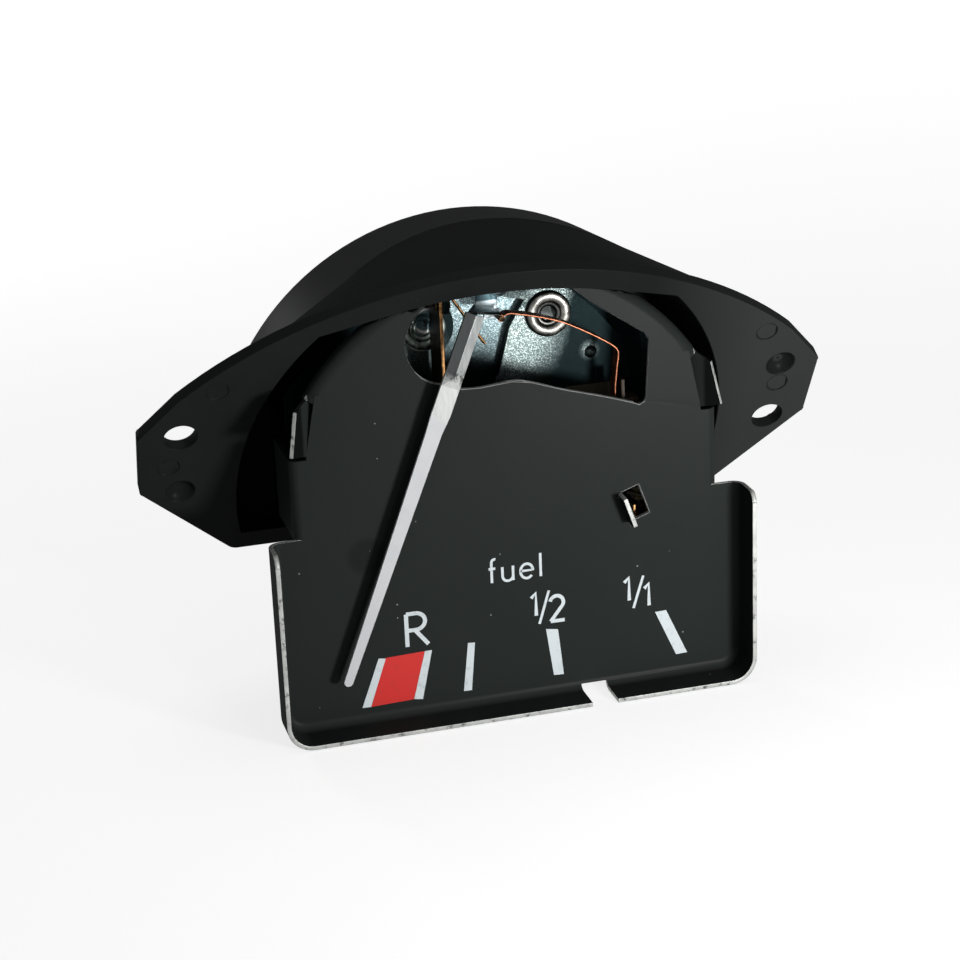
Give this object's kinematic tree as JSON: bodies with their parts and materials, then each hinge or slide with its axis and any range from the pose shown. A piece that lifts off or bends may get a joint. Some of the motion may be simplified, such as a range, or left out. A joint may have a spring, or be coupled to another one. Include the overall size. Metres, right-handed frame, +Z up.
{
  "type": "fuel gauge",
  "caption": "Thermal fuel gauge with an angled black flange, a dark pressed dial, a white pointer and an open bimetal movement.",
  "frame": {"origin": "middle of the line between the two fixing holes, on the flange's front face", "axes": "+X to the driver's right, +Y away from the driver, +Z up; the dial's face is square to Y"},
  "size_m": [0.0778, 0.0325, 0.0535],
  "materials": {
    "black_plastic": "moulded, semi-gloss",
    "dial_paint": "matt dark grey paint",
    "screw_steel": "zinc plated",
    "zinc_blue": "blue passivated zinc",
    "eyelet_zinc": "zinc plated",
    "zinc_light": "blue passivated zinc, spangled",
    "pointer_white": "white paint on bare aluminium",
    "hub_metal": "bare, dull",
    "brass": "tarnished",
    "copper_leaf": "bronze strip, satin",
    "bimetal": "bimetal strip, browned",
    "glass_tape": "woven tape",
    "heater_wire": "varnished covering",
    "lead_cover": "varnished sleeve",
    "fibre": "vulcanised fibre"
  },
  "bodies": {
    "case": {"housing": "black_plastic", "dial_plate": "dial_paint", "dial_screws": "screw_steel", "movement_frame": "zinc_blue", "frame_screws": "screw_steel", "frame_washers": "screw_steel", "arm_eyelets": "eyelet_zinc", "spring_washers": "screw_steel", "heater_leads": "lead_cover", "supply_terminal": "brass", "sender_terminal": "brass", "terminal_collars": "fibre"},
    "range_body": {"range_arm": "zinc_light", "pivot_pin": "screw_steel", "backing_card": "fibre"},
    "pointer_body": {"pointer": "pointer_white", "pointer_hub": "hub_metal", "link_pin": "brass"},
    "link_body": {"link_leaf": "copper_leaf"},
    "zero_body": {"zero_arm": "zinc_light", "compensating_leg": "bimetal", "lug_rivets": "brass", "foot_rivets": "brass"},
    "heated_body": {"heated_leg": "bimetal", "heater_insulation": "glass_tape", "heater_winding": "heater_wire"}
  },
  "joints": [
    {"name": "range_adjust", "type": "hinge", "parent": "case", "child": "range_body", "pos_m": [0.0071, -0.00128, 0.01273], "axis": [0, -1, 0], "range_deg": [-1.5, 1.5]},
    {"name": "pointer_swing", "type": "hinge", "parent": "range_body", "child": "pointer_body", "pos_m": [0, -0.00528, 0.01793], "axis": [0, -1, 0], "range_deg": [0, 49.5], "stiffness_Nm_per_rad": 0.0005},
    {"name": "link_turn", "type": "hinge", "parent": "pointer_body", "child": "link_body", "pos_m": [0.00055, -0.00548, 0.01408], "axis": [0, -1, 0], "range_deg": [-57.5, 0]},
    {"name": "zero_adjust", "type": "hinge", "parent": "case", "child": "zero_body", "pos_m": [-0.0071, -0.00128, 0.01273], "axis": [0, -1, 0], "range_deg": [-2, 2]},
    {"name": "leg_flex", "type": "hinge", "parent": "zero_body", "child": "heated_body", "pos_m": [0.0156, -0.00468, -0.01022], "axis": [0, -1, 0], "range_deg": [-4.75, 0]}
  ],
  "couplings": [
    {"joint": "link_turn", "follows": "pointer_swing", "ratio": -1.16},
    {"joint": "leg_flex", "follows": "pointer_swing", "ratio": -0.095}
  ]
}
